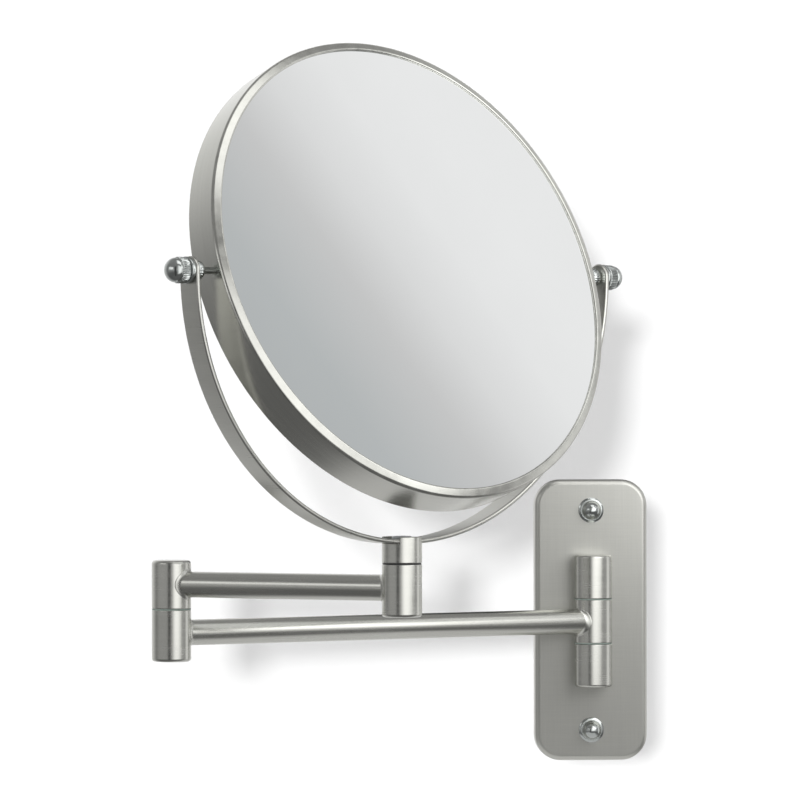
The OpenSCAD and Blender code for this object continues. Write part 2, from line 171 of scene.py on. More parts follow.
class WallMirrorColours(bpy.types.PropertyGroup):
    """Base colours of the finishes."""

    nickel: colour("Satin nickel", "Brushed nickel plating on the tubes, plate, yoke and head", "#d3d3cd")
    chrome: colour("Chrome", "Bright plating on the nuts, studs, washers and collars", "#c6cac8")
    zinc: colour("Zinc", "Zinc plating on the bracket, pins and screws", "#b6b9ba")
    nylon: colour("Nylon", "Grey-green nylon of the bushes", "#7b8780")
    silver: colour("Silvering", "Silver behind the clear glass", "#f0f1f1")
    board: colour("Fibre board", "Pressed board behind the front glass", "#8a7152")
    # This black also colours the swivel bush, as painted shade for the gap there.
    black: colour("Black plastic", "Moulded ring between the glasses", "#2a2a2b")
    brass: colour("Brass", "Turned brass inserts", "#c9a860")
    wall: colour("Backdrop", "Painted studio wall and floor", "#f4f4f4")


# ---- materials -----------------------------------------------------------------------------------


def add(tree, kind, links=(), **settings):
    """Adds a node with its settings; links is pairs of input name or number and an output or a value."""
    node = tree.nodes.new("ShaderNode" + kind)
    for key, value in settings.items():
        setattr(node, key, value)
    for key, value in links:
        if isinstance(value, bpy.types.NodeSocket):
            tree.links.new(value, node.inputs[key])
        else:
            node.inputs[key].default_value = value
    return node


def blank(name):
    """A new material with only its output node."""
    material = bpy.data.materials.new(name)
    material.use_nodes = True
    material.node_tree.nodes.clear()
    return material, material.node_tree


def ramp(tree, factor, stops, interpolation="LINEAR"):
    """A colour ramp with grey or coloured stops of (position, value)."""
    node = add(tree, "ValToRGB", [("Fac", factor)])
    band = node.color_ramp
    band.interpolation = interpolation
    while len(band.elements) < len(stops):
        band.elements.new(0.5)
    for element, (position, value) in zip(band.elements, stops):
        element.position = position
        rgb = value if isinstance(value, tuple) else (value, value, value)
        element.color = (*rgb, 1)
    return node.outputs["Color"]


def surface(tree, base, metallic, roughness, normal=None, **constants):
    """The shader and the output: base and roughness may be sockets, the rest are constants."""
    links = [("Base Color", base if isinstance(base, bpy.types.NodeSocket) else (*base, 1)),
             ("Metallic", metallic), ("Roughness", roughness)]
    links += [(key.replace("_", " "), value) for key, value in constants.items()]
    if normal is not None:
        links.append(("Normal", normal))
    shader = add(tree, "BsdfPrincipled", links)
    add(tree, "OutputMaterial", [("Surface", shader.outputs["BSDF"])])


def shade(rgb, factor):
    """A colour made lighter or darker."""
    return tuple(min(c * factor, 1.0) for c in rgb)


def local_coordinates(tree, place):
    """Object coordinates turned into a piece's own axes by a Mapping node."""
    back = place.inverted()
    turn = back.to_euler("XYZ")
    source = add(tree, "TexCoord").outputs["Object"]
    return add(tree, "Mapping", [("Vector", source), ("Location", back.translation), ("Rotation", turn)],
               vector_type="POINT").outputs["Vector"]


def stretched(tree, vector, scale, detail=3.0, rough=0.6):
    """Noise on a stretched vector: scale is cycles a metre along each axis."""
    placed = add(tree, "Mapping", [("Vector", vector), ("Scale", scale)]).outputs["Vector"]
    return add(tree, "TexNoise", [("Vector", placed), ("Scale", 1.0), ("Detail", detail),
                                  ("Roughness", rough)]).outputs["Fac"]


def brushed(name, rgb, vector_of, fine, broad, rough=(0.24, 0.36), bump=0.05):
    """Nickel plate over a belt-ground surface: warm grey, with a silky sheen drawn out across the grain.

    vector_of gives the coordinates, fine is the grain's scale and broad the scale of its uneven patches.
    """
    material, tree = blank(name)
    vector = vector_of(tree)
    grain = stretched(tree, vector, fine)
    patches = stretched(tree, vector, broad, 2.0, 0.5)
    blend = add(tree, "Math", [(0, grain), (1, patches)], operation="ADD").outputs[0]
    half = add(tree, "Math", [(0, blend), (1, 0.5)], operation="MULTIPLY").outputs[0]
    tone = ramp(tree, half, [(0.34, shade(rgb, 0.94)), (0.66, shade(rgb, 1.05))])
    roughness = add(tree, "MapRange", [("Value", half), ("From Min", 0.35), ("From Max", 0.65),
                                       ("To Min", rough[0]), ("To Max", rough[1])]).outputs["Result"]
    normal = add(tree, "Bump", [("Height", grain), ("Strength", bump), ("Distance", 0.02 * MM)])
    surface(tree, tone, 1.0, roughness, normal.outputs["Normal"])
    return material


def along(place, grain_axis, fine=0.45, length=30.0):
    """Coordinates and scales for straight grain along one of a piece's own axes.

    Real grain is 0.05 to 0.1 mm apart; it is drawn 0.45 mm apart so that it shows at arm's length.
    """
    scale = [1 / (fine * MM)] * 3
    scale[grain_axis] = 1 / (length * MM)
    broad = [1 / (6 * MM)] * 3
    broad[grain_axis] = 1 / (60 * MM)
    return (lambda tree: local_coordinates(tree, place)), tuple(scale), tuple(broad)


def across_upright(fine=0.45):
    """Coordinates and scales for lathe lines round pieces whose axes stand upright."""
    level, rise = 1 / (30 * MM), 1 / (fine * MM)
    broad = (90, 90, 1 / (4 * MM))
    return (lambda tree: add(tree, "TexCoord").outputs["Object"]), (level, level, rise), broad


def around(place, fine=0.45):
    """Coordinates and scales for grain that runs round a turned piece: radius, height and a slow drift."""

    def vector_of(tree):
        local = local_coordinates(tree, place)
        parts = add(tree, "SeparateXYZ", [("Vector", local)])
        level = add(tree, "CombineXYZ", [("X", parts.outputs["X"]), ("Y", parts.outputs["Y"])])
        radius = add(tree, "VectorMath", [(0, level.outputs["Vector"])],
                     operation="LENGTH").outputs["Value"]
        drift = add(tree, "Math", [(0, parts.outputs["X"]), (1, 0.02)], operation="MULTIPLY").outputs[0]
        drifted = add(tree, "Math", [(0, radius), (1, drift)], operation="ADD").outputs[0]
        return add(tree, "CombineXYZ", [("X", drifted), ("Y", parts.outputs["Z"]),
                                        ("Z", parts.outputs["X"])]).outputs["Vector"]

    across = 1 / (fine * MM)
    return vector_of, (across, across, 1 / (40 * MM)), (1 / (5 * MM), 1 / (5 * MM), 1 / (50 * MM))


def cross_brushed(name, rgb):
    """Satin nickel sheet with fine crossed grain from brushing both ways, which softens its reflections.

    Real scratches are under 0.1 mm apart; they are drawn about 0.5 mm apart so that they show.
    """
    material, tree = blank(name)
    vector = local_coordinates(tree, ON_WALL)
    upright = stretched(tree, vector, (1900, 45, 100))
    level = stretched(tree, vector, (45, 1900, 100))
    cloud = stretched(tree, vector, (60, 25, 60), 2.0, 0.5)
    weave = add(tree, "Math", [(0, upright), (1, level)], operation="ADD").outputs[0]
    half = add(tree, "Math", [(0, weave), (1, 0.5)], operation="MULTIPLY").outputs[0]
    tone = ramp(tree, half, [(0.38, shade(rgb, 0.97)), (0.62, shade(rgb, 1.02))])
    roughness = add(tree, "MapRange", [("Value", cloud), ("From Min", 0.3), ("From Max", 0.7),
                                       ("To Min", 0.36), ("To Max", 0.42)]).outputs["Result"]
    normal = add(tree, "Bump", [("Height", half), ("Strength", 0.03), ("Distance", 0.02 * MM)])
    surface(tree, tone, 1.0, roughness, normal.outputs["Normal"])
    return material


def strip_brushed(name, rgb):
    """Satin nickel strip brushed across its width; the grain follows the strip's own UV map in metres.

    Real scratches are under 0.1 mm apart; they are drawn about 0.45 mm apart so that they show.
    """

    def vector_of(tree):
        return add(tree, "UVMap", uv_map="strip").outputs["UV"]

    return brushed(name, rgb, vector_of, (2200, 60, 1), (160, 20, 1), rough=(0.27, 0.32), bump=0.02)


def speckled(name, rgb, metallic, low, high, grain, bump=0.0, **constants):
    """An even finish whose colour and gloss wander a little over patches of grain millimetres."""
    material, tree = blank(name)
    source = add(tree, "TexCoord").outputs["Object"]
    noise = stretched(tree, source, (1 / (grain * MM),) * 3, 4.0, 0.55)
    tone = ramp(tree, noise, [(0.35, shade(rgb, 0.93)), (0.65, shade(rgb, 1.05))])
    roughness = add(tree, "MapRange", [("Value", noise), ("From Min", 0.3), ("From Max", 0.7),
                                       ("To Min", low), ("To Max", high)]).outputs["Result"]
    normal = None
    if bump:
        normal = add(tree, "Bump", [("Height", noise), ("Strength", bump),
                                    ("Distance", 0.05 * MM)]).outputs["Normal"]
    surface(tree, tone, metallic, roughness, normal, **constants)
    return material


def silvered(name, rgb):
    """Silvered float glass: a flawless reflection under a faint film of dust that dulls it in patches."""
    material, tree = blank(name)
    source = add(tree, "TexCoord").outputs["Object"]
    haze = stretched(tree, source, (25, 25, 25), 3.0, 0.6)
    roughness = add(tree, "MapRange", [("Value", haze), ("From Min", 0.35), ("From Max", 0.75),
                                       ("To Min", 0.004), ("To Max", 0.02)]).outputs["Result"]
    tone = ramp(tree, haze, [(0.3, rgb), (0.8, shade(rgb, 0.985))])
    surface(tree, tone, 1.0, roughness)
    return material


FINISHES = {}


def finish(name):
    """The material of that name, made on first use."""
    if name in FINISHES:
        return FINISHES[name]
    chosen = bpy.context.scene.wall_mirror_colours
    nickel = tuple(chosen.nickel)
    polished_nickel = {"low": 0.2, "high": 0.27, "grain": 6.0}
    makers = {
        # Stamped sheet, satin nickel plated: a soft grey sheen with no clear reflection in it.
        "cross_brushed_nickel_plate": lambda n: cross_brushed(n, nickel),
        # Turned bar, satin nickel plated: fine lathe rings under bright and dark upright stripes.
        "turned_nickel": lambda n: brushed(n, nickel, *across_upright(), rough=(0.2, 0.28), bump=0.12),
        # Drawn tube brushed lengthwise, one for each arm: long silky highlights along the tube.
        "brushed_nickel_lower_tube": lambda n: brushed(n, nickel, *along(IN_LOWER_ARM, 0),
                                                       rough=(0.2, 0.3)),
        "brushed_nickel_upper_tube": lambda n: brushed(n, nickel, *along(IN_UPPER_ARM, 0),
                                                       rough=(0.2, 0.3)),
        # Flat strip brushed before it was bent: an even satin grey that changes slowly round the bend.
        "brushed_nickel_strip": lambda n: strip_brushed(n, nickel),
        # Spun drum brushed round its axis: blurred dark and pale bands that follow the circle.
        "brushed_nickel_drum": lambda n: brushed(n, nickel, *around(IN_HEAD), rough=(0.16, 0.24)),
        # Rolled edge polished after plating: a smooth line round the glass, without the drum's grain.
        "polished_nickel_lip": lambda n: speckled(n, nickel, 1.0, **polished_nickel),
        # Small turned parts, chrome plated: sharp glints and near-black reflections side by side.
        "bright_chrome": lambda n: speckled(n, tuple(chosen.chrome), 1.0, 0.09, 0.15, 3.0),
        # Zinc plated steel: a dull, cloudy blue-grey.
        "zinc_plate": lambda n: speckled(n, tuple(chosen.zinc), 1.0, 0.3, 0.45, 1.5, 0.05),
        # Moulded nylon bush at the swivel, coloured near-black: painted shade for the dark gap between the
        # swivel knuckle and the stem.
        "black_nylon": lambda n: speckled(n, tuple(chosen.black), 0.0, 0.4, 0.55, 0.6, 0.1),
        # Moulded nylon bush, grey-green: a thin matt line between two knuckles.
        "moulded_nylon": lambda n: speckled(n, tuple(chosen.nylon), 0.0, 0.4, 0.55, 0.6, 0.1),
        # Float glass silvered at the back: a clear reflection, dulled a little by dust.
        "silvered_glass": lambda n: silvered(n, tuple(chosen.silver)),
        # Pressed wood fibre: matt brown with a rough, mottled face.
        "pressed_fibre_board": lambda n: speckled(n, tuple(chosen.board), 0.0, 0.8, 0.95, 0.8, 0.4),
        # Injection moulded ring: matt black with a slight moulded texture.
        "moulded_black_plastic": lambda n: speckled(n, tuple(chosen.black), 0.0, 0.45, 0.6, 0.7, 0.1),
        # Turned brass: a warm yellow with a soft shine.
        "turned_brass": lambda n: speckled(n, tuple(chosen.brass), 1.0, 0.2, 0.3, 0.5),
    }
    FINISHES[name] = makers[name](name)
    return FINISHES[name]


# ---- shapes --------------------------------------------------------------------------------------


def turned(profile, steps=96, closed=False, segments=4):
    """A bmesh turned about Z from a profile of (radius, height, edge rounding), in millimetres."""
    bm = bmesh.new()
    verts = [bm.verts.new((r * MM, 0, z * MM)) for r, z, _ in profile]
    ends = verts[1:] + verts[:1] if closed else verts[1:]
    edges = [bm.edges.new(pair) for pair in zip(verts, ends)]
    bmesh.ops.spin(bm, geom=verts + edges, cent=(0, 0, 0), axis=(0, 0, 1), dvec=(0, 0, 0), angle=2 * pi,
                   steps=steps, use_merge=True, use_duplicate=False)
    bmesh.ops.remove_doubles(bm, verts=bm.verts, dist=1e-7)
    bmesh.ops.recalc_face_normals(bm, faces=bm.faces)
    for r, z, rounding in profile:
        if rounding:
            ring = [e for e in bm.edges if all(abs(hypot(v.co.x, v.co.y) - r * MM) < 1e-6
                                               and abs(v.co.z - z * MM) < 1e-6 for v in e.verts)]
            bmesh.ops.bevel(bm, geom=ring, offset=rounding * MM, offset_type="OFFSET", segments=segments,
                            profile=0.5, affect="EDGES", material=-1)
    return bm


def arc(centre, radius, start, end, steps):
    """Profile points along an arc, in degrees, without edge rounding."""
    turns = [radians(start + (end - start) * i / steps) for i in range(steps + 1)]
    return [(max(centre[0] + radius[0] * cos(a), 0), centre[1] + radius[1] * sin(a), 0) for a in turns]


def round_sharp(bm, offset, segments=3, least=35):
    """Bevels every edge that turns by more than least degrees."""
    sharp = [e for e in bm.edges if len(e.link_faces) == 2 and e.calc_face_angle(0) > radians(least)]
    bmesh.ops.bevel(bm, geom=sharp, offset=offset, offset_type="OFFSET", segments=segments, profile=0.5,
                    affect="EDGES", material=-1)


def knurl(bm, low, high, teeth, depth):
    """Sinks every second pair of columns between two heights, on a piece turned in 4 steps a tooth."""
    for v in bm.verts:
        if low * MM < v.co.z < high * MM:
            column = round(atan2(v.co.y, v.co.x) / (2 * pi) * teeth * 4) % 4
            radius = hypot(v.co.x, v.co.y)
            if column < 2 and radius > depth:
                v.co.xy *= (radius - depth) / radius


def knuckle(low, top, low_round, top_round, bore, recessed=False, blind=None):
    """A turned knuckle with a bore right through, a blind bore from below, or a screw recess from below."""
    r = KNUCKLE_R
    if blind is not None:
        return turned([(0, top, 0), (r, top, top_round), (r, low, low_round), (bore, low, 0.2),
                       (bore, low + blind, 0), (0, low + blind, 0)])
    if recessed:
        seat = low + RECESS_DEPTH
        profile = [(bore, top, 0.2), (r, top, top_round), (r, low, low_round), (PLUG_R, low, 0.15),
                   (PLUG_R, seat, 0), (HEAD_SEAT_R, seat, 0), (HEAD_SEAT_R, seat + SEAT_T, 0),
                   (bore, seat + SEAT_T, 0)]
    else:
        profile = [(bore, top, 0.2), (r, top, top_round), (r, low, low_round), (bore, low, 0.2)]
    return turned(profile, closed=True)


def plug(radius, low, thickness):
    """A disc that closes a recess from below, with a broken edge and a shallow dimple."""
    return turned([(0, low + 0.35, 0), (radius * 0.45, low + 0.35, 0.3), (radius * 0.5, low + 0.1, 0.1),
                   (radius - 0.05, low + 0.1, 0.25), (radius - 0.05, low + thickness, 0),
                   (0, low + thickness, 0)])


def coped_tube(length, braze, steps=72):
    """A tube along X between two knuckles, drawn out at both ends into brazed fillets."""
    bm = bmesh.new()
    bmesh.ops.create_circle(bm, cap_ends=False, segments=steps, radius=TUBE_R * MM)
    bmesh.ops.rotate(bm, verts=bm.verts, cent=(0, 0, 0), matrix=Matrix.Rotation(pi / 2, 3, "Y"))
    turns = [0, 15, 30, 45, 60, 75, 90]
    knots = [("start", 90, 0.4)] + [("start", t, 0.0) for t in reversed(turns)]
    knots += [("middle", 0, 0.25 + 0.25 * i) for i in range(3)]
    knots += [("end", t, 0.0) for t in turns] + [("end", 90, 0.4)]
    loop = list(bm.edges)
    rings = [list(bm.verts)]
    for _ in knots[1:]:
        made = bmesh.ops.extrude_edge_only(bm, edges=loop)["geom"]
        loop = [g for g in made if isinstance(g, bmesh.types.BMEdge)]
        rings.append([g for g in made if isinstance(g, bmesh.types.BMVert)])
    for ring, (place, turn, sunk) in zip(rings, knots):
        for v in ring:
            angle = atan2(v.co.z, v.co.y)
            t = radians(turn)
            radius = TUBE_R + braze * (1 - cos(t))
            y = radius * cos(angle)
            if place == "middle":
                x = length * sunk
            else:
                x = sqrt(KNUCKLE_R ** 2 - y * y) + braze * (1 - sin(t)) - sunk
                x = x if place == "start" else length - x
            v.co = (x * MM, y * MM, radius * sin(angle) * MM)
    bmesh.ops.holes_fill(bm, edges=bm.edges, sides=0)
    bmesh.ops.recalc_face_normals(bm, faces=bm.faces)
    return bm


def softened_copy(node, offset):
    """A CAD node's shape with its corners broken."""
    bm = bmesh.new()
    bm.from_mesh(frame["nodes"][node].data)
    bmesh.ops.remove_doubles(bm, verts=bm.verts, dist=2e-6)
    bmesh.ops.dissolve_limit(bm, angle_limit=radians(0.5), verts=bm.verts, edges=bm.edges)
    bmesh.ops.recalc_face_normals(bm, faces=bm.faces)
    round_sharp(bm, offset, 2)
    return bm


def piece(name, bm, place, body, slot, materials, *nodes):
    """Puts a finished bmesh into the scene, riding on its body and standing for its CAD nodes."""
    bm.transform(place)
    for face in bm.faces:
        face.smooth = True
    mesh = bpy.data.meshes.new(name)
    bm.to_mesh(mesh)
    bm.free()
    obj = bpy.data.objects.new(name, mesh)
    bpy.context.scene.collection.objects.link(obj)
    for material in materials if isinstance(materials, (list, tuple)) else [materials]:
        mesh.materials.append(finish(material))
    even = obj.modifiers.new("even_shading", "WEIGHTED_NORMAL")
    even.keep_sharp = True
    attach(obj, body)
    if nodes:
        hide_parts(*nodes)
    return obj


def paint(material, slot, *nodes):
    """Gives CAD nodes that stay on show their finish."""
    for name in nodes:
        obj = frame["nodes"][name]
        obj.data.materials.clear()
        obj.data.materials.append(finish(material))


# ---- operators -----------------------------------------------------------------------------------


class WALLMIRROR_OT_wall_plate(bpy.types.Operator):
    """Stamped wall plate with rounded corners and a rolled edge, open at the back"""

    bl_idname = "wall_mirror.wall_plate"
    bl_label = "Wall plate"

    def execute(self, context):
        sizes = context.scene.wall_mirror_sizes
        bm = bmesh.new()
        bmesh.ops.create_grid(bm, x_segments=1, y_segments=1, size=0.5)
        bmesh.ops.scale(bm, vec=(PLATE_WIDTH * MM, PLATE_HEIGHT * MM, 1), verts=bm.verts)
        bmesh.ops.bevel(bm, geom=bm.verts[:], offset=sizes.plate_corner, offset_type="OFFSET", segments=14,
                        profile=0.5, affect="VERTICES", material=-1)
        made = bmesh.ops.extrude_face_region(bm, geom=bm.faces[:])["geom"]
        raised = [g for g in made if isinstance(g, bmesh.types.BMVert)]
        bmesh.ops.translate(bm, vec=(0, 0, PLATE_DEPTH * MM), verts=raised)
        back = [f for f in bm.faces if all(abs(v.co.z) < 1e-7 for v in f.verts)]
        bmesh.ops.delete(bm, geom=back, context="FACES_ONLY")
        front = [e for e in bm.edges if all(v.co.z > PLATE_DEPTH * MM - 1e-7 for v in e.verts)]
        bmesh.ops.bevel(bm, geom=front, offset=sizes.plate_edge, offset_type="OFFSET", segments=8,
                        profile=0.5, affect="EDGES", material=-1)
        bmesh.ops.recalc_face_normals(bm, faces=bm.faces)
        plate = piece("wall_plate_shell", bm, ON_WALL, "wall_mount", "satin_nickel_plate",
                      "cross_brushed_nickel_plate", "wall_plate")
        sheet = plate.modifiers.new("sheet_metal", "SOLIDIFY")
        sheet.thickness, sheet.offset = 1.5 * MM, -1
        plate.modifiers.move(1, 0)
        return {"FINISHED"}


class WALLMIRROR_OT_plate_fixings(bpy.types.Operator):
    """Domed cap nuts and their washers on the plate, and the bracket, studs and screws behind it"""

    bl_idname = "wall_mirror.plate_fixings"
    bl_label = "Plate fixings"

    def execute(self, context):
        for side, word in ((1, "upper"), (-1, "lower")):
            place = ON_WALL @ Matrix.Translation((0, side * STUD_HEIGHT * MM, PLATE_DEPTH * MM))
            nodes = ["nut_washers"] if side > 0 else []
            washer = turned([(2.2, 0, 0), (5.9, 0, 0), (5.9, 0.25, 0.1), (4.7, 0.8, 0.2), (4.6, 0.7, 0),
                             (2.2, 0.7, 0)], closed=True)
            piece(f"cap_washer_{word}", washer, place, "wall_mount", "chrome", "bright_chrome", *nodes)
            dome = turned([(0, 0.72, 0), (4.5, 0.72, 0.2), (4.5, 2.3, 0.35), (4.05, 2.75, 0.15),
                           (4.05, 3.5, 0.2), *arc((0, 3.6), (4.05, 4.1), 4, 90, 14)])
            piece(f"cap_nut_dome_{word}", dome, place, "wall_mount", "chrome", "bright_chrome",
                  f"cap_nut_{word}")
        paint("zinc_plate", "zinc_steel", "wall_bracket", "bracket_studs", "hinge_screws")
        return {"FINISHED"}


class WALLMIRROR_OT_wall_hinge(bpy.types.Operator):
    """Two knuckles on the plate with their pin and plug"""

    bl_idname = "wall_mirror.wall_hinge"
    bl_label = "Wall hinge"

    def execute(self, context):
        reach = -HINGE.y / MM - PLATE_DEPTH
        cover_r, cover_t = 4.0, 1.6
        for side, word in ((1, "upper"), (-1, "lower")):
            if side > 0:
                bm = knuckle(-HALF_KNUCKLE, HALF_KNUCKLE, 0.35, 1.0, PIN_BORE,
                             blind=2 * HALF_KNUCKLE - cover_t)
            else:
                profile = [(PIN_BORE, HALF_KNUCKLE, 0.2), (KNUCKLE_R, HALF_KNUCKLE, 0.35),
                           (KNUCKLE_R, -HALF_KNUCKLE, 1.4), (cover_r, -HALF_KNUCKLE, 0.2),
                           (cover_r, -HALF_KNUCKLE + cover_t, 0), (PIN_BORE, -HALF_KNUCKLE + cover_t, 0)]
                bm = turned(profile, closed=True)
            pad = bmesh.new()
            bmesh.ops.create_cube(pad, size=1)
            bmesh.ops.scale(pad, vec=(10 * MM, reach * MM, (2 * HALF_KNUCKLE - 4) * MM), verts=pad.verts)
            bmesh.ops.translate(pad, vec=(0, reach / 2 * MM, 0), verts=pad.verts)
            round_sharp(pad, 0.6 * MM)
            joined = bpy.data.meshes.new("pad")
            pad.to_mesh(joined)
            pad.free()
            bm.from_mesh(joined)
            bpy.data.meshes.remove(joined)
            place = AT_HINGE @ Matrix.Translation((0, 0, side * HINGE_RISE * MM))
            piece(f"wall_knuckle_{word}", bm, place, "wall_mount", "satin_nickel", "turned_nickel",
                  f"hinge_knuckle_{word}")
        cover = plug(cover_r, -HINGE_RISE - HALF_KNUCKLE, cover_t)
        piece("wall_hinge_plug", cover, AT_HINGE, "wall_mount", "satin_nickel", "turned_nickel",
              "hinge_plug")
        paint("zinc_plate", "zinc_steel", "hinge_pin")
        return {"FINISHED"}


class WALLMIRROR_OT_lower_arm(bpy.types.Operator):
    """Lower tube brazed between its hinge knuckle and its elbow knuckle"""

    bl_idname = "wall_mirror.lower_arm"
    bl_label = "Lower arm"

    def execute(self, context):
        braze = context.scene.wall_mirror_sizes.braze / MM
        piece("lower_tube", coped_tube(LOWER_LENGTH, braze), IN_LOWER_ARM, "lower_arm", "satin_nickel",
              "brushed_nickel_lower_tube", "lower_arm_tube")
        piece("arm_knuckle", knuckle(-HALF_KNUCKLE, HALF_KNUCKLE, 0.35, 0.35, BUSH_BORE), AT_HINGE,
              "lower_arm", "satin_nickel", "turned_nickel", "hinge_knuckle_middle")
        at_elbow = Matrix.Translation(ELBOW)
        piece("elbow_lower", knuckle(END_LOW, END_TOP, 1.4, 0.35, BUSH_BORE, recessed=True), at_elbow,
              "lower_arm", "satin_nickel", "turned_nickel", "elbow_knuckle_lower")
        piece("elbow_plug_disc", plug(PLUG_R, END_LOW, 1.2), at_elbow, "lower_arm", "satin_nickel",
              "turned_nickel", "elbow_plug")
        paint("moulded_nylon", "nylon", "hinge_bush_upper", "hinge_bush_lower", "elbow_bush")
        return {"FINISHED"}


class WALLMIRROR_OT_upper_arm(bpy.types.Operator):
    """Upper tube brazed between the closed elbow knuckle and the swivel knuckle"""

    bl_idname = "wall_mirror.upper_arm"
    bl_label = "Upper arm"

    def execute(self, context):
        braze = context.scene.wall_mirror_sizes.braze / MM
        up = Matrix.Translation((0, 0, ARM_RISE * MM))
        piece("upper_tube", coped_tube(UPPER_LENGTH, braze), up @ IN_UPPER_ARM, "upper_arm", "satin_nickel",
              "brushed_nickel_upper_tube", "upper_arm_tube")
        piece("elbow_upper", knuckle(CLOSED_LOW, CLOSED_TOP, 0.35, 1.7, 2.5, blind=11),
              Matrix.Translation(ELBOW), "upper_arm", "satin_nickel", "turned_nickel",
              "elbow_knuckle_upper")
        at_swivel = up @ Matrix.Translation(SWIVEL)
        piece("swivel_body", knuckle(END_LOW, END_TOP, 1.4, 0.35, BUSH_BORE, recessed=True), at_swivel,
              "upper_arm", "satin_nickel", "turned_nickel", "swivel_knuckle")
        piece("swivel_plug_disc", plug(PLUG_R, END_LOW, 1.2), at_swivel, "upper_arm", "satin_nickel",
              "turned_nickel", "swivel_plug")
        # The swivel bush gets a near-black colour as painted shade for the dark gap under the stem.
        paint("black_nylon", "black_nylon", "swivel_bush")
        paint("zinc_plate", "zinc_steel", "elbow_screw", "elbow_wave_washer")
        return {"FINISHED"}


class WALLMIRROR_OT_yoke(bpy.types.Operator):
    """Half-round band with rounded ends, in the slot of its stem"""

    bl_idname = "wall_mirror.yoke"
    bl_label = "Yoke"

    def execute(self, context):
        middle = BAND_R + BAND_T / 2
        half = middle * pi / 2 * MM
        bm = bmesh.new()
        ends = 48
        bmesh.ops.create_circle(bm, cap_ends=True, segments=ends, radius=BAND_W / 2 * MM / cos(pi / ends),
                                matrix=Matrix.Rotation(pi / ends, 4, "Z"))
        for v in bm.verts:
            v.co.x += copysign(half, v.co.x)
        reach = half + BAND_W / 2 * MM
        cuts = 144
        for i in range(1, cuts):
            bmesh.ops.bisect_plane(bm, geom=bm.verts[:] + bm.edges[:] + bm.faces[:], dist=1e-8,
                                   plane_co=(reach * (2 * i / cuts - 1), 0, 0), plane_no=(1, 0, 0))
        made = bmesh.ops.extrude_face_region(bm, geom=bm.faces[:])["geom"]
        raised = [g for g in made if isinstance(g, bmesh.types.BMVert)]
        bmesh.ops.translate(bm, vec=(0, 0, BAND_T * MM), verts=raised)
        bmesh.ops.recalc_face_normals(bm, faces=bm.faces)
        round_sharp(bm, context.scene.wall_mirror_sizes.band_edge, 3, 60)
        layer = bm.loops.layers.uv.new("strip")
        for face in bm.faces:
            for loop in face.loops:
                loop[layer].uv = loop.vert.co.xy
        for v in bm.verts:
            turn, out = v.co.x / (middle * MM), BAND_R * MM + v.co.z
            v.co = (out * sin(turn), v.co.y, PIVOT.z - out * cos(turn))
        bmesh.ops.recalc_face_normals(bm, faces=bm.faces)
        piece("yoke_strip", bm, IN_YOKE, "yoke", "satin_nickel_band", "brushed_nickel_strip", "yoke_band")
        piece("yoke_stem_slotted", softened_copy("yoke_stem", 0.25 * MM), Matrix(), "yoke", "satin_nickel",
              "turned_nickel", "yoke_stem")
        paint("zinc_plate", "zinc_steel", "swivel_bolt", "swivel_nut", "swivel_wave_washer")
        return {"FINISHED"}


class WALLMIRROR_OT_mirror_head(bpy.types.Operator):
    """Drum with its polished front lip, and the bezel that closes the back"""

    bl_idname = "wall_mirror.mirror_head"
    bl_label = "Mirror head"

    def execute(self, context):
        lip = context.scene.wall_mirror_sizes.lip_slope / MM
        inside = HEAD_R - RIM_WALL
        outer_edge = 1.1
        drum = turned([(inside, -HALF_HEAD, 0.2), (HEAD_R, -HALF_HEAD, 0.5),
                       (HEAD_R, HALF_HEAD - lip, outer_edge),
                       (VIEW_R + 0.6, HALF_HEAD, 0.5), (VIEW_R, HALF_HEAD - 0.5, 0.25),
                       (VIEW_R, HALF_HEAD - RIM_WALL, 0), (inside, HALF_HEAD - RIM_WALL, 0)],
                      steps=240, closed=True, segments=6)
        for face in drum.faces:
            rise = face.calc_center_median().z / MM
            face.material_index = int(rise > HALF_HEAD - lip - outer_edge)
        piece("head_drum", drum, IN_HEAD, "mirror_head", "satin_nickel_rim",
              ["brushed_nickel_drum", "polished_nickel_lip"], "mirror_rim")
        low = -HALF_HEAD
        bezel = turned([(inside - 0.05, low, 0.3), (inside - 0.05, low + 4.1, 0),
                        (inside - RIM_WALL, low + 4.1, 0), (inside - RIM_WALL, low + RIM_WALL, 0),
                        (VIEW_R, low + RIM_WALL, 0), (VIEW_R, low, 0.9)], steps=240, closed=True, segments=6)
        piece("head_bezel", bezel, IN_HEAD, "mirror_head", "satin_nickel_rim", "polished_nickel_lip",
              "rear_bezel")
        return {"FINISHED"}


class WALLMIRROR_OT_glasses(bpy.types.Operator):
    """Flat front glass, hollow magnifying rear glass, and what lies between them"""

    bl_idname = "wall_mirror.glasses"
    bl_label = "Glasses"

    def execute(self, context):
        top = HALF_HEAD - RIM_WALL
        front = turned([(0, top, 0), (GLASS_R, top, 0.4), (GLASS_R, top - GLASS_T, 0.4),
                        (0, top - GLASS_T, 0)], steps=192, segments=2)
        piece("front_mirror_glass", front, IN_HEAD, "mirror_head", "mirror_glass", "silvered_glass",
              "front_glass")
        rest = sqrt(DISH_R ** 2 - GLASS_R ** 2)
        rings = 24
        face = [(GLASS_R * i / rings, sqrt(DISH_R ** 2 - (GLASS_R * i / rings) ** 2) - rest - top, 0)
                for i in range(rings + 1)]
        rear = turned(face + [(r, z + REAR_GLASS_T, 0) for r, z, _ in reversed(face)], steps=192)
        piece("rear_magnifier_glass", rear, IN_HEAD, "mirror_head", "mirror_glass", "silvered_glass",
              "rear_glass")
        paint("pressed_fibre_board", "fibre_board", "front_backing")
        paint("moulded_black_plastic", "black_plastic", "spacer_ring")
        return {"FINISHED"}


